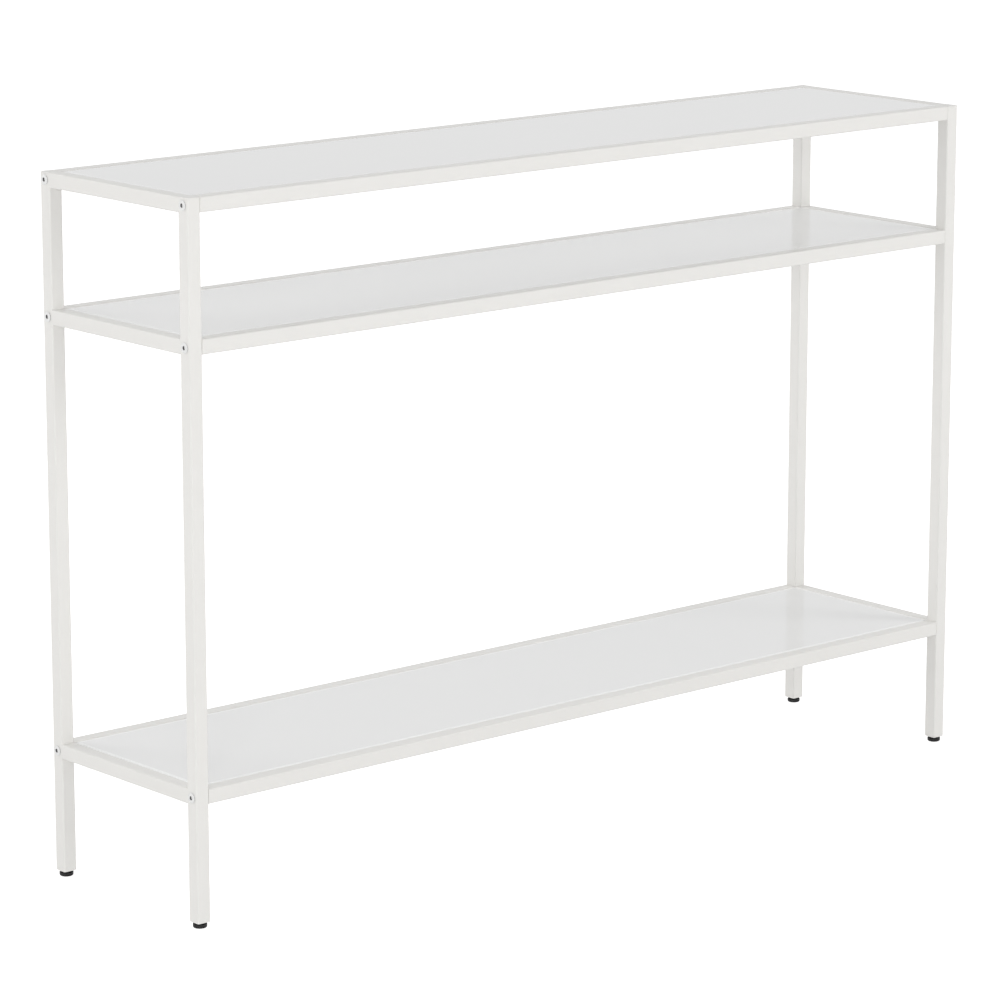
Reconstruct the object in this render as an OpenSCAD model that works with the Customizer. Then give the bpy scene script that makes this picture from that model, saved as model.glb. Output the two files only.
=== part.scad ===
// Console table: two welded tube end frames, six bolt-on long rails, three drop-in glass panels
// and four screw-in levelling feet. Millimetres. Origin on the floor under the centre of the
// table, +X to the right along the length, +Y to the back, +Z up.

/* [Overall] */
// Length over the screw heads
overall_w = 1096; // [800:1:1400]
// Depth over the legs
overall_d = 250; // [200:10:400]
// Height of the frame's top face above the floor
overall_h = 750; // [650:10:900]
// Drop from the top rails' upper face to the middle rails' upper face
middle_drop = 142; // [80:2:300]
// Height of the bottom rails' upper face above the floor
bottom_h = 146; // [80:2:240]

/* [Square tube] */
// Outside size of the tube
tube = 16; // [15:1:20]
// Wall thickness of the tube
wall = 1.2; // [1:0.1:1.5]
// Outside corner radius of the tube
tube_r = 1.8; // [1.6:0.1:2.4]
// Thickness of the cap welded into each leg's top end
cap_t = 1.5; // [1:0.5:3]

/* [Glass panels] */
// Thickness of a panel
panel_t = 5; // [4:1:6]
// Clearance all round a panel
panel_gap = 1; // [0.5:0.25:2]
// How far a panel's upper face lies below the rails' upper faces
panel_drop = 0.5; // [0:0.1:1]
// Corner radius of a panel
panel_r = 2; // [1:0.5:4]
// Thickness of a rubber bumper
bumper_t = 1.5; // [1:0.5:2]
// Diameter of a rubber bumper
bumper_d = 9; // [6:0.5:10]
// Thickness of a support tab
tab_t = 2; // [1.5:0.5:3]
// Length of a support tab along the rail
tab_w = 24; // [14:1:40]
// Reach of a support tab in from the rail
tab_reach = 13; // [12:1:20]
// Support tabs on each long rail
tab_count = 3; // [2:1:6]

/* [Frame screws] */
// Thread diameter of the frame screws
screw_d = 6; // [5:1:6]
// Length of the frame screws under the head
screw_l = 30; // [26:1:40]
// Head diameter
head_d = 11; // [9.5:0.5:12]
// Head height
head_h = 1.2; // [1:0.1:3.5]
// Width of the hexagon socket across its flats
socket_af = 4; // [3:1:4]
// Depth of the hexagon socket
socket_depth = 2.1; // [1.5:0.1:2.3]
// Thickness of the threaded plate welded into each rail end
nut_plate_t = 6; // [4:1:10]

/* [Levelling feet] */
// Gap between a leg's end and its foot pad
foot_gap = 1.5; // [1.5:0.5:6]
// Diameter of a foot pad
pad_d = 15; // [14:0.5:20]
// Thickness of a foot pad
pad_t = 4.5; // [4:0.5:8]
// Radius of a foot pad's lower edge
pad_edge_r = 1.8; // [1:0.2:3]
// Thread diameter of a foot's stud
stud_d = 6; // [5:1:6]
// Length of a foot's stud
stud_l = 30; // [24:1:40]
// Length of the threaded insert in a leg's lower end
insert_l = 20; // [14:1:30]

/* [Hidden] */
$fn = 48;

LEFT = -1;
RIGHT = 1;
FRONT = -1;
REAR = 1;

// Upper faces of the three levels of rails
top_z = overall_h;
middle_z = overall_h - middle_drop;
bottom_z = bottom_h;
LEVELS = [top_z, middle_z, bottom_z];

frame_w = overall_w - 2 * head_h;
leg_x = (frame_w - tube) / 2;
leg_y = (overall_d - tube) / 2;
leg_z = foot_gap + pad_t;
leg_l = overall_h - leg_z - cap_t;

// The clear rectangle inside the rails of one level
bay_w = frame_w - 2 * tube;
bay_d = overall_d - 2 * tube;

bore = tube - 2 * wall;
bore_r = tube_r - wall;
fit = 0.1;
running_fit = 0.08;
screw_hole_d = screw_d + 0.6;
weld_gap = 0.2;
tab_end = 80;
pad_socket = 3;
pad_top_r = 0.8;

// A square with round corners, made of true arcs
module round_square(w, d, r) {
    square([w - 2 * r, d], center = true);
    square([w, d - 2 * r], center = true);
    for (x = [-1, 1], y = [-1, 1])
        translate([x * (w / 2 - r), y * (d / 2 - r)])
            circle(r);
}

// A length of the square tube standing on the origin
module square_tube(length) {
    difference() {
        linear_extrude(length)
            round_square(tube, tube, tube_r);
        translate([0, 0, -1])
            linear_extrude(length + 2)
                round_square(bore, bore, bore_r);
    }
}

// The axis of one frame screw, at the height of the middle of the rail
module at_screws(side) {
    for (y = [FRONT, REAR], z = LEVELS)
        translate([side * frame_w / 2, y * leg_y, z - tube / 2])
            rotate([0, side * 90, 0])
                children();
}

module leg(side, face) {
    color("white")
        difference() {
            translate([side * leg_x, face * leg_y, leg_z])
                square_tube(leg_l);
            at_screws(side)
                translate([0, 0, -tube - 1])
                    cylinder(d = screw_hole_d, h = tube + 2);
        }
}

module leg_caps() {
    color("white")
        for (side = [LEFT, RIGHT], face = [FRONT, REAR])
            translate([side * leg_x, face * leg_y, leg_z + leg_l])
                linear_extrude(cap_t)
                    round_square(tube, tube, tube_r);
}

module end_rail(side, z) {
    color("white")
        translate([side * leg_x, bay_d / 2, z - tube / 2])
            rotate([90, 0, 0])
                square_tube(bay_d);
}

module long_rail(face, z) {
    color("white")
        translate([-bay_w / 2, face * leg_y, z - tube / 2])
            rotate([0, 90, 0])
                square_tube(bay_w);
}

// Threaded plates welded flush inside the rail ends
module nut_plates(side) {
    color("silver")
        at_screws(side)
            translate([0, 0, -tube - nut_plate_t])
                difference() {
                    linear_extrude(nut_plate_t)
                        round_square(bore - weld_gap, bore - weld_gap, bore_r);
                    translate([0, 0, -1])
                        cylinder(d = screw_d + fit, h = nut_plate_t + 2);
                }
}

// Thin-head screws, slightly domed, with a hexagon socket that runs on into the shank
module frame_screws(side) {
    land = 0.5;
    socket_d = socket_af / cos(30);
    flat_r = socket_d / 2 + 0.3;
    // The dome passes through the head's rim and through the edge of its flat top
    dome_z = (pow(head_h, 2) - pow(land, 2) + pow(flat_r, 2) - pow(head_d / 2, 2))
        / (2 * (head_h - land));
    dome_r = sqrt(pow(head_d / 2, 2) + pow(land - dome_z, 2));
    color("whitesmoke")
        at_screws(side)
            difference() {
                union() {
                    intersection() {
                        cylinder(d = head_d, h = head_h);
                        translate([0, 0, dome_z])
                            sphere(dome_r, $fn = 96);
                    }
                    translate([0, 0, -screw_l])
                        cylinder(d = screw_d, h = screw_l + land);
                }
                translate([0, 0, head_h - socket_depth])
                    cylinder(d = socket_d, h = socket_depth + 1, $fn = 6);
            }
}

// Where the support tabs stand along a rail, evenly spaced
module at_tabs(z) {
    reach = bay_w / 2 - tab_end;
    for (face = [FRONT, REAR], i = [0 : tab_count - 1])
        translate([-reach + 2 * reach * i / (tab_count - 1), face * bay_d / 2, z])
            rotate([0, 0, face == FRONT ? 0 : 180])
                children();
}

module panel_tabs(z) {
    color("white")
        at_tabs(z - panel_drop - panel_t - bumper_t - tab_t)
            translate([-tab_w / 2, 0, 0])
                cube([tab_w, tab_reach, tab_t]);
}

module bumpers(z) {
    color("gainsboro")
        at_tabs(z - panel_drop - panel_t - bumper_t)
            translate([0, tab_reach - bumper_d / 2 - 1, 0])
                cylinder(d = bumper_d, h = bumper_t);
}

module panel(z) {
    color("ghostwhite")
        translate([0, 0, z - panel_drop - panel_t])
            linear_extrude(panel_t)
                round_square(bay_w - 2 * panel_gap, bay_d - 2 * panel_gap, panel_r);
}

// Plastic plug with a threaded hole, pressed into a leg's lower end
module foot_insert(side, face) {
    color("dimgray")
        translate([side * leg_x, face * leg_y, leg_z])
            difference() {
                linear_extrude(insert_l)
                    round_square(bore - fit, bore - fit, bore_r);
                translate([0, 0, -1])
                    cylinder(d = stud_d + 2 * running_fit, h = insert_l + 2);
            }
}

module foot_stud(side, face) {
    color("silver")
        translate([side * leg_x, face * leg_y, pad_t - pad_socket])
            cylinder(d = stud_d, h = stud_l);
}

// Points of an arc in the profile of a turned part
function arc(x, z, r, from, to, steps) =
    [for (i = [0 : steps]) let (a = from + (to - from) * i / steps) [x + r * cos(a), z + r * sin(a)]];

module foot_pad(side, face) {
    color("black")
        translate([side * leg_x, face * leg_y, 0])
            difference() {
                rotate_extrude($fn = 64)
                    polygon(concat(
                        [[0, 0]],
                        arc(pad_d / 2 - pad_edge_r, pad_edge_r, pad_edge_r, -90, 0, 8),
                        arc(pad_d / 2 - pad_top_r, pad_t - pad_top_r, pad_top_r, 0, 90, 4),
                        [[0, pad_t]]
                    ));
                translate([0, 0, pad_t - pad_socket])
                    cylinder(d = stud_d + 2 * running_fit, h = pad_socket + 1);
            }
}

leg(LEFT, FRONT);  // leg_front_left
leg(LEFT, REAR);  // leg_rear_left
leg(RIGHT, FRONT);  // leg_front_right
leg(RIGHT, REAR);  // leg_rear_right
leg_caps();
end_rail(LEFT, top_z);  // end_rail_top_left
end_rail(LEFT, middle_z);  // end_rail_middle_left
end_rail(LEFT, bottom_z);  // end_rail_bottom_left
end_rail(RIGHT, top_z);  // end_rail_top_right
end_rail(RIGHT, middle_z);  // end_rail_middle_right
end_rail(RIGHT, bottom_z);  // end_rail_bottom_right
long_rail(FRONT, top_z);  // long_rail_top_front
long_rail(FRONT, middle_z);  // long_rail_middle_front
long_rail(FRONT, bottom_z);  // long_rail_bottom_front
long_rail(REAR, top_z);  // long_rail_top_rear
long_rail(REAR, middle_z);  // long_rail_middle_rear
long_rail(REAR, bottom_z);  // long_rail_bottom_rear
nut_plates(LEFT);  // nut_plates_left
nut_plates(RIGHT);  // nut_plates_right
frame_screws(LEFT);  // frame_screws_left
frame_screws(RIGHT);  // frame_screws_right
panel_tabs(top_z);  // panel_tabs_top
panel_tabs(middle_z);  // panel_tabs_middle
panel_tabs(bottom_z);  // panel_tabs_bottom
bumpers(top_z);  // bumpers_top
bumpers(middle_z);  // bumpers_middle
bumpers(bottom_z);  // bumpers_bottom
panel(top_z);  // top_panel
panel(middle_z);  // middle_panel
panel(bottom_z);  // bottom_panel
foot_insert(LEFT, FRONT);  // foot_insert_front_left
foot_insert(LEFT, REAR);  // foot_insert_rear_left
foot_insert(RIGHT, FRONT);  // foot_insert_front_right
foot_insert(RIGHT, REAR);  // foot_insert_rear_right
foot_stud(LEFT, FRONT);  // foot_stud_front_left
foot_stud(LEFT, REAR);  // foot_stud_rear_left
foot_stud(RIGHT, FRONT);  // foot_stud_front_right
foot_stud(RIGHT, REAR);  // foot_stud_rear_right
foot_pad(LEFT, FRONT);  // foot_pad_front_left
foot_pad(LEFT, REAR);  // foot_pad_rear_left
foot_pad(RIGHT, FRONT);  // foot_pad_front_right
foot_pad(RIGHT, REAR);  // foot_pad_rear_right
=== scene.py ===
"""Console table: the looks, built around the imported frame. Metres, +Z up, +X right, +Y back.

Every piece is a skin laid over rings of points, so every mesh is closed. The legs are such skins
with holes cut through them, and the nut plates keep their CAD mesh. Places come from the boxes of
the CAD nodes. Sizes that a box can't give, such as a wall thickness, are named below.
"""

from math import atan2, cos, hypot, pi, radians, sin

import bmesh
import bpy
from mathutils import Matrix, Vector


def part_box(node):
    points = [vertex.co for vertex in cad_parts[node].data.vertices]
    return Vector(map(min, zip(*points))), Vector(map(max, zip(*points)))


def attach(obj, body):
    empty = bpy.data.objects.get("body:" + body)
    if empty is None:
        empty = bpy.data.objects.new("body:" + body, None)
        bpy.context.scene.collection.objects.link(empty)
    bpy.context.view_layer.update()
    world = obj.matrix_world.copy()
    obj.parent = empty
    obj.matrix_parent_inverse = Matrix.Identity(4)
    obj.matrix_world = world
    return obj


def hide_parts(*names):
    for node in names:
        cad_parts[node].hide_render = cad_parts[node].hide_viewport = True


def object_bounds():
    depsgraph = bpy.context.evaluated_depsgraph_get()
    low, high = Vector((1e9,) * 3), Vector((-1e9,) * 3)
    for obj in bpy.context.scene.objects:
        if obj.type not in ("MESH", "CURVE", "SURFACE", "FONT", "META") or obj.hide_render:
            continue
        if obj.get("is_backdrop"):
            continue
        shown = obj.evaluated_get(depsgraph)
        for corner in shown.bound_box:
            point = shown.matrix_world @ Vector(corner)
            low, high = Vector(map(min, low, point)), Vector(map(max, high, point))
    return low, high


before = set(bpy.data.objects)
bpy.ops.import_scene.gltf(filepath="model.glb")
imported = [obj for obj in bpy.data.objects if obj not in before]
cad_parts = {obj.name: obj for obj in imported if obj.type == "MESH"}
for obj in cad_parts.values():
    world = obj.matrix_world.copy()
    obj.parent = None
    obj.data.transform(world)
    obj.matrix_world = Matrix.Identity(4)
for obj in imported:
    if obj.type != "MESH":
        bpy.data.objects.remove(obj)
cad_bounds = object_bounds()

MM = 0.001

# Square tube
WALL = 1.2 * MM
TUBE_R = 1.8 * MM
CUT_R = 0.4 * MM          # rounding that the coating leaves on a sawn end
RAIL_END_R = 1.0 * MM     # rounding of the long rails' ends, which stand open at the legs
CAP_EDGE_R = 0.7 * MM     # rounding round the top of a leg's cap
WELD_DROP = 0.03 * MM     # how far the dressed weld lies below the faces that it joins

# Screws and studs
SCREW_D = 6 * MM
THREAD_PITCH = 1 * MM
THREAD_DEPTH = 0.55 * MM
SCREW_GAP = 0.3 * MM      # clearance round a frame screw in the legs' walls
STUD_GAP = 0.08 * MM      # clearance round a stud in its pad, and at the corners of its plug's hole
STUD_END_GAP = 0.1 * MM
HEAD_LAND = 0.5 * MM      # height of the upper edge of a screw's rim, where the dome starts
HEAD_H = 1.2 * MM
HEAD_RELIEF = 0.3 * MM    # depth of the shadow gap under the edge of a head
HEAD_NECK = 1.9 * MM      # plain length under a head, round the lower end of its socket
SOCKET_AF = 4 * MM
SOCKET_DEPTH = 2.1 * MM

# Glass
GLASS_ARRIS = 0.9 * MM    # ground bevel round the upper edge
GLASS_ARRIS_BELOW = 0.5 * MM
GLASS_BORDER = 3 * MM     # width of the border of the top face where the glow of light entering the edge is painted

# Light
ROOM_LOW = 0.85           # brightness of the room near the floor
ROOM_HIGH = 0.51          # and overhead
ROOM_MIRRORED = 0.89      # and all round, as glossy surfaces see it
FLOOR_WHITE = 0.7
FLOOR_LIGHT = 0.18        # glow of the floor as a light table
FLOOR_GLOW = 0.65         # further glow that only the camera sees

SIDES = ("left", "right")
FACES = ("front", "rear")
LEVELS = ("top", "middle", "bottom")
CORNERS = [f"{face}_{side}" for face in FACES for side in SIDES]


# ---------------------------------------------------------------- meshes

def circle(r, count, turn=0.0):
    """Points of a circle, anticlockwise."""
    angles = [turn + 2 * pi * i / count for i in range(count)]
    return [(r * cos(a), r * sin(a)) for a in angles]


def round_box(half_x, half_y, r, steps=6):
    """Points of a rectangle with round corners, anticlockwise from the +X +Y corner."""
    points = []
    for quarter, (sx, sy) in enumerate(((1, 1), (-1, 1), (-1, -1), (1, -1))):
        for i in range(steps + 1):
            a = (quarter + i / steps) * pi / 2
            points.append((sx * (half_x - r) + r * cos(a), sy * (half_y - r) + r * sin(a)))
    return points


def hexagon(across_flats, count, turn=0.0):
    """Points round a hexagon at even angles. A count divisible by 6 has a point at each corner."""
    points = []
    for i in range(count):
        a = 2 * pi * i / count
        r = across_flats / 2 / cos(a % (pi / 3) - pi / 6)
        points.append((r * cos(a + turn), r * sin(a + turn)))
    return points


def level(points, z):
    """Outline points lifted to a height."""
    return [(x, y, z) for x, y in points]


def skin(bm, rings, place=Matrix.Identity(4), closed=False):
    """Lays quads between rings of equal length, and returns them band by band.

    closed joins the last ring to the first, else both ends are capped and the last band is the caps.
    """
    made = [[bm.verts.new(place @ Vector(p)) for p in ring] for ring in rings]
    pairs = list(zip(made, made[1:]))
    if closed:
        pairs.append((made[-1], made[0]))
    bands = []
    for a, b in pairs:
        neighbours = [(i, (i + 1) % len(a)) for i in range(len(a))]
        bands.append([bm.faces.new((a[i], a[j], b[j], b[i])) for i, j in neighbours])
    if not closed:
        bands.append([bm.faces.new(reversed(made[0])), bm.faces.new(made[-1])])
    return bands


def lathe(bm, profile, place=Matrix.Identity(4), count=48, closed=False):
    """A turned shape: profile holds (radius, height) pairs."""
    skin(bm, [level(circle(r, count), z) for r, z in profile], place, closed)


def arc(x, z, r, start, end, steps):
    """(x, z) points of an arc, in degrees."""
    angles = [radians(start + (end - start) * i / steps) for i in range(steps + 1)]
    return [(x + r * cos(a), z + r * sin(a)) for a in angles]


def tube(bm, length, place, half, end_r=CUT_R, weld=0.0):
    """A square tube from z 0 to length. weld runs each end on into the rounding of the leg there."""
    half_in = half - WALL
    bore_r = TUBE_R - WALL
    steps = 4

    def outer(inset, z):
        return level(round_box(half - inset, half - inset, TUBE_R - inset), z)

    if weld:
        start = [outer(WELD_DROP, -weld), outer(WELD_DROP, 0), outer(0, WELD_DROP)]
        end = [outer(0, length - WELD_DROP), outer(WELD_DROP, length), outer(WELD_DROP, length + weld)]
    else:
        angles = [pi / 2 * i / steps for i in range(steps + 1)]
        inset_at = [(end_r * (1 - sin(a)), end_r * (1 - cos(a))) for a in angles]
        start = [outer(inset, z) for inset, z in inset_at]
        end = [outer(inset, length - z) for inset, z in reversed(inset_at)]
    low = start[0][0][2]
    high = end[-1][0][2]
    bore = round_box(half_in, half_in, bore_r)
    skin(bm, start + end + [level(bore, high), level(bore, low)], place, closed=True)


def threaded(bm, r, z0, z1, place, count=32, per_pitch=8, chamfer=0.8 * MM):
    """A right-hand threaded rod, as a skin whose radius follows the helix."""
    crest = 0.1    # half the width of a crest, in pitches
    flank = 0.4    # width of a flank, in pitches
    rings = []
    rows = round((z1 - z0) / THREAD_PITCH * per_pitch)
    for row in range(rows + 1):
        z = z0 + (z1 - z0) * row / rows
        from_end = min(z - z0, z1 - z)
        largest = r - max(0.0, chamfer - from_end)
        ring = []
        for i in range(count):
            phase = (z / THREAD_PITCH - i / count) % 1
            ridge = min(1.0, max(0.0, 1 - (abs(phase - 0.5) - crest) / flank))
            here = min(r - THREAD_DEPTH * (1 - ridge), largest)
            a = 2 * pi * i / count
            ring.append((here * cos(a), here * sin(a), z))
        rings.append(ring)
    skin(bm, rings, place)


def piece(name, bm, material, body, slot, *nodes, sharp=35, extra=()):
    """Finishes a mesh as a piece that rides on a body and stands for CAD nodes."""
    bmesh.ops.recalc_face_normals(bm, faces=bm.faces)
    mesh = bpy.data.meshes.new(name)
    bm.to_mesh(mesh)
    bm.free()
    for m in (material, *extra):
        mesh.materials.append(m)
    return dress(name, mesh, body, nodes, sharp)


def dress(name, mesh, body, nodes, sharp):
    """Gives a mesh its object, its shading and its body, and hides the CAD nodes it stands for."""
    mesh.polygons.foreach_set("use_smooth", [True] * len(mesh.polygons))
    mesh.set_sharp_from_angle(angle=radians(sharp))
    obj = bpy.data.objects.new(name, mesh)
    bpy.context.scene.collection.objects.link(obj)
    normals = obj.modifiers.new("flat faces stay flat", "WEIGHTED_NORMAL")
    normals.keep_sharp = True
    normals.weight = 100
    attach(obj, body)
    if nodes:
        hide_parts(*nodes)
    return obj


# ---------------------------------------------------------------- materials

def shader(name, colour, roughness, metallic=0.0, **sockets):
    """A Principled material and the handles that the material functions use."""
    material = bpy.data.materials.new(name)
    material.use_nodes = True
    tree = material.node_tree
    bsdf = tree.nodes["Principled BSDF"]
    bsdf.inputs["Base Color"].default_value = (*colour, 1)
    bsdf.inputs["Roughness"].default_value = roughness
    bsdf.inputs["Metallic"].default_value = metallic
    for socket, value in sockets.items():
        bsdf.inputs[socket.replace("_", " ")].default_value = value
    place = tree.nodes.new("ShaderNodeTexCoord")
    return material, tree, bsdf, place.outputs["Object"]


def noise(tree, place, wavelength, detail=2.0, stretch=(1, 1, 1)):
    """Noise with features of about that many metres."""
    mapping = tree.nodes.new("ShaderNodeMapping")
    mapping.inputs["Scale"].default_value = [s / wavelength for s in stretch]
    tree.links.new(place, mapping.inputs["Vector"])
    texture = tree.nodes.new("ShaderNodeTexNoise")
    texture.inputs["Scale"].default_value = 1.0
    texture.inputs["Detail"].default_value = detail
    tree.links.new(mapping.outputs["Vector"], texture.inputs["Vector"])
    return texture.outputs["Fac"]


def spread(tree, value, low, high, socket):
    """Maps noise to a range of numbers on a socket."""
    node = tree.nodes.new("ShaderNodeMapRange")
    node.inputs["From Min"].default_value = 0.3
    node.inputs["From Max"].default_value = 0.7
    node.inputs["To Min"].default_value = low
    node.inputs["To Max"].default_value = high
    tree.links.new(value, node.inputs["Value"])
    tree.links.new(node.outputs["Result"], socket)


def tint(tree, value, dark, light, socket):
    """Maps noise to a range of colours on a socket."""
    node = tree.nodes.new("ShaderNodeMix")
    node.data_type = "RGBA"
    node.inputs["A"].default_value = (*dark, 1)
    node.inputs["B"].default_value = (*light, 1)
    tree.links.new(value, node.inputs["Factor"])
    tree.links.new(node.outputs["Result"], socket)


def bump(tree, bsdf, *layers):
    """Stacks bumps, each (noise, height in metres)."""
    last = None
    for value, height in layers:
        node = tree.nodes.new("ShaderNodeBump")
        node.inputs["Strength"].default_value = 1.0
        node.inputs["Distance"].default_value = height
        tree.links.new(value, node.inputs["Height"])
        if last:
            tree.links.new(last, node.inputs["Normal"])
        last = node.outputs["Normal"]
    tree.links.new(last, bsdf.inputs["Normal"])


def powder_coat():
    """Satin warm-white powder coat: fine orange peel over a slow waviness."""
    material, tree, bsdf, place = shader("powder_coat", (0.8, 0.79, 0.765), 0.4)
    tint(tree, noise(tree, place, 60 * MM, 3), (0.79, 0.78, 0.752), (0.815, 0.805, 0.782),
         bsdf.inputs["Base Color"])
    spread(tree, noise(tree, place, 9 * MM, 3), 0.28, 0.37, bsdf.inputs["Roughness"])
    peel = noise(tree, place, 1.1 * MM, 2)
    wave = noise(tree, place, 5 * MM, 1)
    bump(tree, bsdf, (peel, 0.012 * MM), (wave, 0.02 * MM))
    return material


def white_glass():
    """Milk-white glass: a smooth face with the faint wave that tempering rollers leave."""
    material, tree, bsdf, place = shader("white_glass", (0.86, 0.862, 0.86), 0.03, IOR=1.52)
    tint(tree, noise(tree, place, 180 * MM, 2), (0.855, 0.857, 0.856), (0.868, 0.869, 0.866),
         bsdf.inputs["Base Color"])
    spread(tree, noise(tree, place, 30 * MM, 4), 0.02, 0.045, bsdf.inputs["Roughness"])
    bump(tree, bsdf, (noise(tree, place, 70 * MM, 1, (1, 0.25, 1)), 0.01 * MM))
    return material


def glass_edge_painted_glow():
    """Ground glass edge, with fine wheel marks along it. Its colour, brighter than the face, is a painted
    glow: the light that enters the glass at its edge. The same colour is painted on a border of the top face.
    """
    material, tree, bsdf, place = shader("glass_edge_painted_glow", (0.93, 0.94, 0.935), 0.16, IOR=1.52)
    tint(tree, noise(tree, place, 8 * MM, 3), (0.955, 0.965, 0.96), (0.975, 0.98, 0.978),
         bsdf.inputs["Base Color"])
    spread(tree, noise(tree, place, 1.5 * MM, 3), 0.12, 0.24, bsdf.inputs["Roughness"])
    bump(tree, bsdf, (noise(tree, place, 0.4 * MM, 2), 0.004 * MM))
    return material


def coated_screw():
    """The same white on the screws, thinner and a little glossier."""
    material, tree, bsdf, place = shader("coated_screw", (0.8, 0.802, 0.795), 0.25)
    tint(tree, noise(tree, place, 2 * MM, 3), (0.78, 0.782, 0.775), (0.83, 0.832, 0.825),
         bsdf.inputs["Base Color"])
    spread(tree, noise(tree, place, 1 * MM, 3), 0.2, 0.32, bsdf.inputs["Roughness"])
    bump(tree, bsdf, (noise(tree, place, 0.7 * MM, 2), 0.01 * MM))
    return material


def painted_shade_dark():
    """Painted shade: a dark colour on a screw's socket walls, its neck and the underside of its head, for the
    shade in the socket and in the gap under the head's edge.
    """
    material, tree, bsdf, place = shader("painted_shade_dark", (0.13, 0.13, 0.132), 0.4)
    tint(tree, noise(tree, place, 0.8 * MM, 3), (0.09, 0.09, 0.092), (0.18, 0.18, 0.182),
         bsdf.inputs["Base Color"])
    spread(tree, noise(tree, place, 0.5 * MM, 3), 0.3, 0.5, bsdf.inputs["Roughness"])
    bump(tree, bsdf, (noise(tree, place, 0.3 * MM, 2), 0.004 * MM))
    return material


def zinc_steel():
    """Bright zinc plate, slightly blotched by its passivation."""
    material, tree, bsdf, place = shader("zinc_steel", (0.62, 0.64, 0.66), 0.3, metallic=1.0)
    tint(tree, noise(tree, place, 3 * MM, 4), (0.52, 0.54, 0.57), (0.7, 0.71, 0.71),
         bsdf.inputs["Base Color"])
    spread(tree, noise(tree, place, 0.8 * MM, 3), 0.22, 0.4, bsdf.inputs["Roughness"])
    bump(tree, bsdf, (noise(tree, place, 0.3 * MM, 2), 0.003 * MM))
    return material


def clear_rubber():
    """Milky soft rubber with a dull skin."""
    material, tree, bsdf, place = shader("clear_rubber", (0.7, 0.71, 0.7), 0.4, Subsurface_Weight=0.2)
    bsdf.inputs["Subsurface Radius"].default_value = (1 * MM, 1 * MM, 1 * MM)
    bsdf.inputs["Subsurface Scale"].default_value = 1.0
    tint(tree, noise(tree, place, 3 * MM, 3), (0.66, 0.67, 0.66), (0.74, 0.75, 0.74),
         bsdf.inputs["Base Color"])
    spread(tree, noise(tree, place, 1 * MM, 2), 0.34, 0.5, bsdf.inputs["Roughness"])
    bump(tree, bsdf, (noise(tree, place, 0.5 * MM, 2), 0.006 * MM))
    return material


def plastic(name, dark, light, rough_low, rough_high):
    """Moulded plastic with a fine spark-eroded texture."""
    material, tree, bsdf, place = shader(name, dark, rough_low)
    tint(tree, noise(tree, place, 4 * MM, 3), dark, light, bsdf.inputs["Base Color"])
    spread(tree, noise(tree, place, 1.2 * MM, 3), rough_low, rough_high, bsdf.inputs["Roughness"])
    bump(tree, bsdf, (noise(tree, place, 0.25 * MM, 2), 0.003 * MM))
    return material


# ---------------------------------------------------------------- pieces

def span(node):
    """Centre and size of a CAD node's box."""
    low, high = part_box(node)
    return (low + high) / 2, high - low


def along(axis):
    """Turns a shape that runs up +Z so that it runs along another axis."""
    return Vector((0, 0, 1)).rotation_difference(Vector(axis)).to_matrix().to_4x4()


def screw_places(side):
    """The places of one end's six frame screws, each with its axis outwards."""
    outward = -1 if side == "left" else 1
    for face in FACES:
        leg, size = span(f"leg_{face}_{side}")
        for height in LEVELS:
            rail, _ = span(f"end_rail_{height}_{side}")
            seat = Vector((leg.x + outward * size.x / 2, leg.y, rail.z))
            yield Matrix.Translation(seat) @ along((outward, 0, 0))


def legs(coat):
    """Legs, with clearance holes for the frame screws through both walls."""
    hole_r = SCREW_D / 2 + SCREW_GAP
    drill_past = 1 * MM
    for corner in CORNERS:
        side = corner.split("_")[1]
        node = f"leg_{corner}"
        centre, size = span(node)
        low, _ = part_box(node)
        bm = bmesh.new()
        tube(bm, size.z, Matrix.Translation((centre.x, centre.y, low.z)), half=size.x / 2)
        bmesh.ops.recalc_face_normals(bm, faces=bm.faces)
        solid = bpy.data.meshes.new(node + "_solid")
        bm.to_mesh(solid)
        bm.free()

        drills = bmesh.new()
        for place in screw_places(side):
            if abs(place.translation.y - centre.y) < size.y:
                profile = [(hole_r, -size.x - drill_past), (hole_r, drill_past)]
                lathe(drills, profile, place, count=32)
        bmesh.ops.recalc_face_normals(drills, faces=drills.faces)
        drill_mesh = bpy.data.meshes.new(node + "_drills")
        drills.to_mesh(drill_mesh)
        drills.free()

        mesh = subtract(solid, drill_mesh)
        mesh.materials.clear()
        mesh.materials.append(coat)
        dress(node + "_tube", mesh, "frame", [node], 35)


def subtract(solid, cutter):
    """The solid mesh less the cutter mesh."""
    body = bpy.data.objects.new("solid", solid)
    tool = bpy.data.objects.new("tool", cutter)
    for obj in (body, tool):
        bpy.context.scene.collection.objects.link(obj)
    cut = body.modifiers.new("cut", "BOOLEAN")
    cut.operation = "DIFFERENCE"
    cut.solver = "EXACT"
    cut.object = tool
    seen = body.evaluated_get(bpy.context.evaluated_depsgraph_get())
    mesh = bpy.data.meshes.new_from_object(seen)
    for obj in (body, tool):
        bpy.data.objects.remove(obj)
    return mesh


def caps(coat):
    """The caps welded into the tops of the legs, dressed flush with their sides."""
    bm = bmesh.new()
    low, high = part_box("leg_caps")
    steps = 4
    for corner in CORNERS:
        centre, size = span(f"leg_{corner}")
        half = size.x / 2
        rings = [level(round_box(half, half, TUBE_R), low.z)]
        for i in range(steps + 1):
            a = pi / 2 * i / steps
            inset = CAP_EDGE_R * (1 - cos(a))
            outline = round_box(half - inset, half - inset, TUBE_R - inset)
            rings.append(level(outline, high.z - CAP_EDGE_R * (1 - sin(a))))
        skin(bm, rings, Matrix.Translation((centre.x, centre.y, 0)))
    piece("leg_cap_plates", bm, coat, "frame", "powder_coat", "leg_caps")


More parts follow.
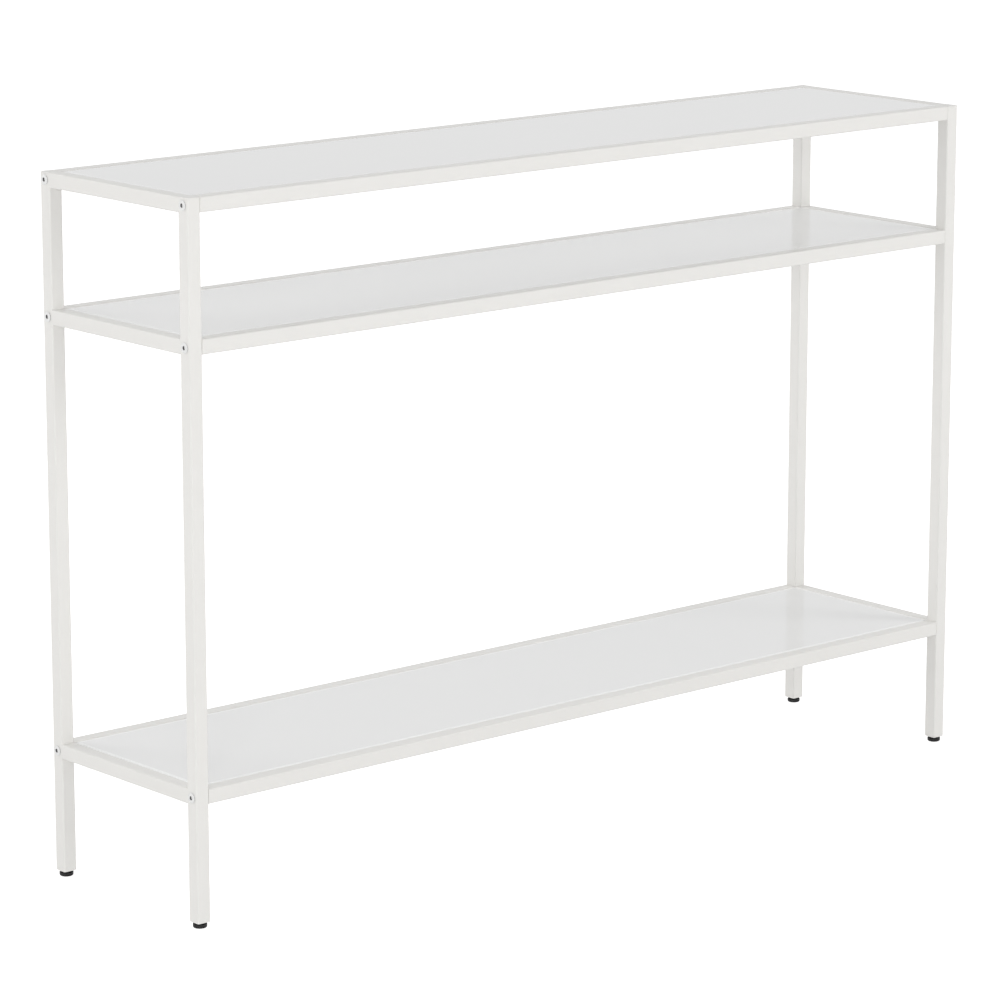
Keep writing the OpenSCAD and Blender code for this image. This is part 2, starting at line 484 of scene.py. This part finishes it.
def end_rails(coat):
    """End rails, welded between the legs. Their ends run on into the legs' rounded edges."""
    for side in SIDES:
        for height in LEVELS:
            node = f"end_rail_{height}_{side}"
            centre, size = span(node)
            place = Matrix.Translation((centre.x, centre.y - size.y / 2, centre.z)) @ along((0, 1, 0))
            bm = bmesh.new()
            tube(bm, size.y, place, half=size.x / 2, weld=TUBE_R)
            piece(node + "_tube", bm, coat, "frame", "powder_coat", node)


def long_rails(coat):
    """Long rails, screwed between the end frames. Their ends are rounded by the coating."""
    for face in FACES:
        for height in LEVELS:
            node = f"long_rail_{height}_{face}"
            centre, size = span(node)
            place = Matrix.Translation((centre.x - size.x / 2, centre.y, centre.z)) @ along((1, 0, 0))
            bm = bmesh.new()
            tube(bm, size.x, place, end_r=RAIL_END_R, half=size.y / 2)
            piece(node + "_tube", bm, coat, "frame", "powder_coat", node)


def frame_screws(coat, shade_dark):
    """Thin, slightly domed heads with a chamfered hexagon socket, on threaded shanks."""
    count = 48
    overlap = 0.1 * MM        # how far the thread runs up into the neck
    for side in SIDES:
        node = f"frame_screws_{side}"
        low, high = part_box(node)
        length = high.x - low.x - HEAD_H
        leg, _ = span(f"leg_front_{side}")
        head_r = (high.y - low.y) / 2 - abs(leg.y)
        bm = bmesh.new()
        for place in screw_places(side):
            thin_head(bm, head_r, place, count)
            threaded(bm, SCREW_D / 2, -length, overlap - HEAD_NECK, place, count=24, per_pitch=6)
        # The second material is painted shade, on the socket walls and under each head.
        piece(f"frame_screws_{side}_set", bm, coat, "frame", "coated_screw", node, extra=(shade_dark,))


def thin_head(bm, head_r, place, count):
    """The dome passes through the head's rim and the edge of its small flat crown."""
    crown = 0.3 * MM          # flat ring round the socket's corners
    chamfer = 0.3 * MM        # widening of the socket's mouth, across flats
    chamfer_top = 0.02 * MM
    chamfer_end = 0.2 * MM
    bore_r = SOCKET_AF * 0.42     # the hole drilled before the hexagon is pressed in
    bore_depth = 0.1 * MM
    tip_r = 0.2 * MM
    tip_depth = 0.4 * MM
    socket_r = SOCKET_AF / 2 / cos(pi / 6)
    crown_r = socket_r + crown
    dome_z = (HEAD_H ** 2 - HEAD_LAND ** 2 + crown_r ** 2 - head_r ** 2) / (2 * (HEAD_H - HEAD_LAND))
    dome_r = hypot(head_r, HEAD_LAND - dome_z)
    start = atan2(HEAD_LAND - dome_z, head_r)
    end = atan2(HEAD_H - dome_z, crown_r)
    steps = 12
    rim = 0.08 * MM           # height of the upright part of the rim
    floor_z = HEAD_H - SOCKET_DEPTH
    rings = [
        level(circle(SCREW_D / 2, count), -HEAD_NECK),
        level(circle(SCREW_D / 2, count), 0.0),
        level(circle(head_r - HEAD_RELIEF, count), 0.0),
        level(circle(head_r - HEAD_RELIEF, count), HEAD_LAND - 1.5 * rim),
        level(circle(head_r, count), HEAD_LAND - rim),
    ]
    for i in range(steps + 1):
        a = start + (end - start) * i / steps
        rings.append(level(circle(dome_r * cos(a), count), dome_z + dome_r * sin(a)))
    rings += [
        level(hexagon(SOCKET_AF + chamfer, count), HEAD_H - chamfer_top),
        level(hexagon(SOCKET_AF, count), HEAD_H - chamfer_end),
        level(hexagon(SOCKET_AF, count), floor_z),
        level(circle(bore_r, count), floor_z - bore_depth),
        level(circle(tip_r, count), floor_z - tip_depth),
    ]
    bands = skin(bm, rings, place)
    # These faces take the second material: painted shade in the gap under the head's edge and on the socket's
    # walls.
    under_head = bands[:4]
    socket_walls = bands[-4]
    for band in [*under_head, socket_walls]:
        for face in band:
            face.material_index = 1


def tabs_and_bumpers(coat, rubber):
    """Support tabs with rounded corners and a weld bead under each, and the rubber bumpers on them."""
    tab_w = 24 * MM
    bead_r = 1.3 * MM
    bumper_r = 4.5 * MM
    margin = 1 * MM           # how far a tab reaches past its bumper
    for height in LEVELS:
        low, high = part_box(f"panel_tabs_{height}")
        rubber_low, rubber_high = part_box(f"bumpers_{height}")
        thick = high.z - low.z
        reach_x = (high.x - low.x - tab_w) / 2
        edge_y = high.y
        bumper_y = rubber_high.y - bumper_r
        tab_reach = edge_y - (bumper_y - bumper_r - margin)
        tab_bm = bmesh.new()
        bumper_bm = bmesh.new()
        for facing in (-1, 1):
            for x in (-reach_x, 0.0, reach_x):
                tab(tab_bm, x, facing, edge_y, tab_w, tab_reach, low.z, thick, bead_r)
                place = Matrix.Translation((x, facing * bumper_y, rubber_low.z))
                bumper(bumper_bm, bumper_r, rubber_high.z - rubber_low.z, place)
        piece(f"panel_tabs_{height}_set", tab_bm, coat, "frame", "powder_coat", f"panel_tabs_{height}")
        piece(f"bumpers_{height}_set", bumper_bm, rubber, "frame", "clear_rubber", f"bumpers_{height}")


def tab(bm, x, facing, edge_y, width, reach, z, thick, bead_r):
    """One tab, flat above, with its free corners rounded, and a bead of weld in the corner below it."""
    corner_r = 3 * MM
    edge = 0.3 * MM
    sink = 0.4 * MM           # how far the tab runs on into the rail's wall

    def outline(inset):
        half = width / 2 - inset
        tip = edge_y - reach + inset
        root = edge_y + sink
        r = corner_r - inset
        points = [(half, root), (-half, root)]
        points += arc(-half + r, tip + r, r, 180, 270, 8)
        points += arc(half - r, tip + r, r, 270, 360, 8)
        return points

    rings = [
        level(outline(edge), z),
        level(outline(0), z + edge),
        level(outline(0), z + thick - edge),
        level(outline(edge), z + thick),
    ]
    place = Matrix.Translation((x, 0, 0)) @ Matrix.Diagonal((1, facing, 1, 1))
    skin(bm, rings, place)

    # The bead ripples along its length, as a run of overlapping puddles does
    bead = []
    length = width * 0.8
    rows = 40
    sides = 12
    puddles = 9
    ripple = 0.06
    bluntness = 0.25
    end_size = 0.12
    for row in range(rows + 1):
        t = row / rows
        taper = sin(pi * t) ** bluntness if 0 < t < 1 else end_size
        r = bead_r * taper * (1 + ripple * sin(2 * pi * puddles * t))
        bead.append([(-length / 2 + length * t, edge_y + y, z + rise) for y, rise in circle(r, sides)])
    skin(bm, bead, place)


def bumper(bm, r, height, place):
    """A low rubber disc with a soft upper edge and a slightly dished middle."""
    edge = 0.5 * MM
    lower_edge = 0.15 * MM
    centre_r = 0.3 * MM
    dish = 0.05 * MM
    dish_halfway = 0.03 * MM
    profile = [(centre_r, 0), (r - lower_edge, 0), (r, lower_edge)]
    profile += arc(r - edge, height - edge, edge, 0, 90, 5)
    profile += [(r * 0.5, height - dish_halfway), (centre_r, height - dish)]
    lathe(bm, profile, place, count=40)


def panels(glass, edge):
    """Glass panels: a flat face, a ground bevel above and below, and round corners. The bevels, the sides and
    a border of the top face take the edge's colour, a painted glow.
    """
    corner_r = 2 * MM
    least_r = 0.3 * MM
    soft = 0.12 * MM          # width of the small flat that softens each edge of the bevel
    for height in LEVELS:
        node = f"{height}_panel"
        centre, size = span(node)
        low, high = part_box(node)
        half_x = size.x / 2
        half_y = size.y / 2

        def outline(inset, z):
            r = max(corner_r - inset, least_r)
            return level(round_box(half_x - inset, half_y - inset, r, steps=8), z)

        rings = [
            outline(GLASS_ARRIS_BELOW, low.z),
            outline(0, low.z + GLASS_ARRIS_BELOW),
            outline(0, high.z - GLASS_ARRIS),
            outline(soft / 2, high.z - GLASS_ARRIS + soft),
            outline(GLASS_ARRIS - soft, high.z - soft / 2),
            outline(GLASS_ARRIS, high.z),
            outline(GLASS_ARRIS + GLASS_BORDER, high.z),
        ]
        bm = bmesh.new()
        skin(bm, rings, Matrix.Translation((centre.x, centre.y, 0)))
        # The quads (bevels, sides and the top face's border) take the second material, the painted glow of
        # light entering the edge; the two flat caps keep the white glass.
        for face in bm.faces:
            flat_face = len(face.verts) > 4
            face.material_index = 0 if flat_face else 1
        piece(node + "_glass", bm, glass, node, "white_glass", node, sharp=30, extra=(edge,))


def feet(plug, stud, pad):
    """Levelling feet: the plug in the leg, the threaded stud and the turned pad."""
    for corner in CORNERS:
        foot_insert(corner, plug)
        foot_stud(corner, stud)
        foot_pad(corner, pad)


def foot_insert(corner, material):
    """A square plug with a hole for the stud.

    The hole has its points where the plug's outline has them, in four groups at the corners. So it
    is nearly square, and its flats cut into the stud's thread.
    """
    node = f"foot_insert_{corner}"
    centre, size = span(node)
    low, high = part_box(node)
    half = size.x / 2
    hole = SCREW_D / 2 + STUD_GAP
    lip = 0.3 * MM
    outline = round_box(half, half, TUBE_R - WALL)

    def narrowed(inset, z):
        return level(round_box(half - inset, half - inset, TUBE_R - WALL - inset), z)

    def hole_ring(r, z):
        """The hole's points face the outline's points, so that no quad twists."""
        return [(r * x / hypot(x, y), r * y / hypot(x, y), z) for x, y in outline]

    rings = [
        narrowed(lip, low.z),
        narrowed(0, low.z + lip),
        narrowed(0, high.z - lip),
        narrowed(lip, high.z),
        hole_ring(hole + lip, high.z),
        hole_ring(hole, high.z - lip),
        hole_ring(hole, low.z + lip),
        hole_ring(hole + lip, low.z),
    ]
    bm = bmesh.new()
    skin(bm, rings, Matrix.Translation((centre.x, centre.y, 0)), closed=True)
    piece(node + "_plug", bm, material, "frame", "insert_plastic", node)


def foot_stud(corner, material):
    """A threaded stud, chamfered at its ends. Its lower end stands just clear of the pad's socket."""
    node = f"foot_stud_{corner}"
    centre, size = span(node)
    low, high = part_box(node)
    bm = bmesh.new()
    threaded(bm, size.x / 2, low.z + STUD_END_GAP, high.z, Matrix.Translation((centre.x, centre.y, 0)))
    piece(node + "_thread", bm, material, node, "zinc_steel", node)


def foot_pad(corner, material):
    """A turned pad with a rounded lower edge, a dished underside and a socket for the stud."""
    node = f"foot_pad_{corner}"
    centre, size = span(node)
    _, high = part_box(node)
    r = size.x / 2
    lower_r = 1.8 * MM
    upper_r = 0.8 * MM
    centre_r = 0.2 * MM
    dish_r = 3.4 * MM
    dish = 0.5 * MM
    dish_slope = 0.4 * MM
    lip = 0.12 * MM
    lip_w = 0.15 * MM
    hole = SCREW_D / 2 + STUD_GAP
    mouth = 0.25 * MM         # chamfer of the socket's mouth
    socket_depth = 3 * MM
    socket_z = high.z - socket_depth
    profile = [(centre_r, dish), (dish_r - dish_slope, dish), (dish_r, lip), (dish_r + lip_w, 0)]
    profile += arc(r - lower_r, lower_r, lower_r, -90, 0, 12)
    profile += arc(r - upper_r, high.z - upper_r, upper_r, 0, 90, 6)
    profile += [(hole + mouth, high.z), (hole, high.z - mouth), (hole, socket_z), (centre_r, socket_z)]
    bm = bmesh.new()
    lathe(bm, profile, Matrix.Translation((centre.x, centre.y, 0)), count=72)
    piece(node + "_disc", bm, material, node, "black_plastic", node)


def nut_plates(material):
    """The plates inside the rails keep their CAD shape and get the zinc finish."""
    for side in SIDES:
        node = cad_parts[f"nut_plates_{side}"]
        node.data.materials.clear()
        node.data.materials.append(material)


# ---------------------------------------------------------------- stage

def camera():
    """Looks from the front left, a little from above, at the photograph's viewing angle."""
    azimuth = radians(40.85)
    elevation = radians(12.46)
    distance = 4.798
    aim_right = -0.0257       # from the table's middle, as the photograph is framed
    aim_up = -0.0266
    low, high = cad_bounds
    forward = Vector((sin(azimuth) * cos(elevation), cos(azimuth) * cos(elevation), -sin(elevation)))
    right = Vector((cos(azimuth), -sin(azimuth), 0))
    up = right.cross(forward)
    data = bpy.data.cameras.new("camera")
    data.lens = 157.3
    data.sensor_width = 36
    data.clip_end = 200
    obj = bpy.data.objects.new("camera", data)
    obj.location = (low + high) / 2 - forward * distance + right * aim_right + up * aim_up
    obj.rotation_mode = "QUATERNION"
    obj.rotation_quaternion = forward.to_track_quat("-Z", "Y")
    bpy.context.scene.collection.objects.link(obj)
    bpy.context.scene.camera = obj


def floor_sheet():
    """A pale floor. Seen directly it is lit up almost to white, as a light table is."""
    reach = 60.0
    gap = 0.2 * MM            # keeps the floor out of the plane of the feet
    bm = bmesh.new()
    bm.faces.new([bm.verts.new((x, y, 0)) for x, y in circle(reach, 4)])
    mesh = bpy.data.meshes.new("floor")
    bm.to_mesh(mesh)
    bm.free()
    material, tree, bsdf, _ = shader("floor", (FLOOR_WHITE,) * 3, 0.9)
    bsdf.inputs["Specular IOR Level"].default_value = 0.1
    bsdf.inputs["Emission Color"].default_value = (1, 1, 1, 1)
    rays = tree.nodes.new("ShaderNodeLightPath")
    glow = tree.nodes.new("ShaderNodeMath")
    glow.operation = "MULTIPLY_ADD"
    glow.inputs[1].default_value = FLOOR_GLOW
    glow.inputs[2].default_value = FLOOR_LIGHT
    tree.links.new(rays.outputs["Is Camera Ray"], glow.inputs[0])
    tree.links.new(glow.outputs["Value"], bsdf.inputs["Emission Strength"])
    mesh.materials.append(material)
    obj = bpy.data.objects.new("floor", mesh)
    obj.location.z = cad_bounds[0].z - gap
    bpy.context.scene.collection.objects.link(obj)
    obj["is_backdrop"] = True


def soft_box(name, azimuth, elevation, distance, size, power):
    """A square area light that faces the table from a bearing. Azimuth 0 stands in front of it.

    It is left out of reflections, or the glass would mirror it as a white patch from behind.
    """
    a = radians(azimuth)
    e = radians(elevation)
    data = bpy.data.lights.new(name, "AREA")
    data.shape = "SQUARE"
    data.size = size
    data.energy = power
    obj = bpy.data.objects.new(name, data)
    obj.visible_glossy = False
    aim = (cad_bounds[0] + cad_bounds[1]) / 2
    back = Vector((-sin(a) * cos(e), -cos(a) * cos(e), sin(e)))
    obj.location = aim + back * distance
    obj.rotation_mode = "QUATERNION"
    obj.rotation_quaternion = (-back).to_track_quat("-Z", "Y")
    bpy.context.scene.collection.objects.link(obj)


def surroundings():
    """A pale room, brighter low down than overhead. Glossy rays see an even one, a little brighter."""
    world = bpy.data.worlds.new("studio")
    bpy.context.scene.world = world
    world.use_nodes = True
    tree = world.node_tree
    direction = tree.nodes.new("ShaderNodeTexCoord")
    upward = tree.nodes.new("ShaderNodeSeparateXYZ")
    fade = tree.nodes.new("ShaderNodeMapRange")
    fade.interpolation_type = "SMOOTHSTEP"
    for socket, value in (("From Min", 0.1), ("From Max", 0.6), ("To Min", ROOM_LOW), ("To Max", ROOM_HIGH)):
        fade.inputs[socket].default_value = value
    tree.links.new(direction.outputs["Generated"], upward.inputs["Vector"])
    tree.links.new(upward.outputs["Z"], fade.inputs["Value"])
    lit = tree.nodes["Background"]
    seen = tree.nodes.new("ShaderNodeBackground")
    for node in (lit, seen):
        node.inputs["Color"].default_value = (1, 1, 1, 1)
    seen.inputs["Strength"].default_value = ROOM_MIRRORED
    tree.links.new(fade.outputs["Result"], lit.inputs["Strength"])
    rays = tree.nodes.new("ShaderNodeLightPath")
    mix = tree.nodes.new("ShaderNodeMixShader")
    tree.links.new(rays.outputs["Is Glossy Ray"], mix.inputs["Fac"])
    tree.links.new(lit.outputs["Background"], mix.inputs[1])
    tree.links.new(seen.outputs["Background"], mix.inputs[2])
    tree.links.new(mix.outputs["Shader"], tree.nodes["World Output"].inputs["Surface"])


coat = powder_coat()
legs(coat)
caps(coat)
end_rails(coat)
long_rails(coat)
frame_screws(coated_screw(), painted_shade_dark())
tabs_and_bumpers(coat, clear_rubber())
panels(white_glass(), glass_edge_painted_glow())
zinc = zinc_steel()
nut_plates(zinc)
feet(
    plastic("insert_plastic", (0.05, 0.05, 0.052), (0.07, 0.07, 0.072), rough_low=0.4, rough_high=0.55),
    zinc,
    plastic("black_plastic", (0.004, 0.004, 0.0045), (0.008, 0.008, 0.0085), rough_low=0.08, rough_high=0.16),
)

camera()
floor_sheet()
surroundings()
soft_box("key_light", azimuth=45, elevation=10, distance=4.0, size=1.4, power=33)
soft_box("right_light", azimuth=-41, elevation=20, distance=4.0, size=1.2, power=34)
soft_box("left_light", azimuth=85, elevation=20, distance=4.0, size=2.5, power=11)
soft_box("rear_light", azimuth=160, elevation=25, distance=4.0, size=2.5, power=48)
bpy.context.scene.view_settings.view_transform = "Standard"

boxes = {"cad": cad_bounds, "visual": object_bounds()}
{name: [list(low), list(high)] for name, (low, high) in boxes.items()}
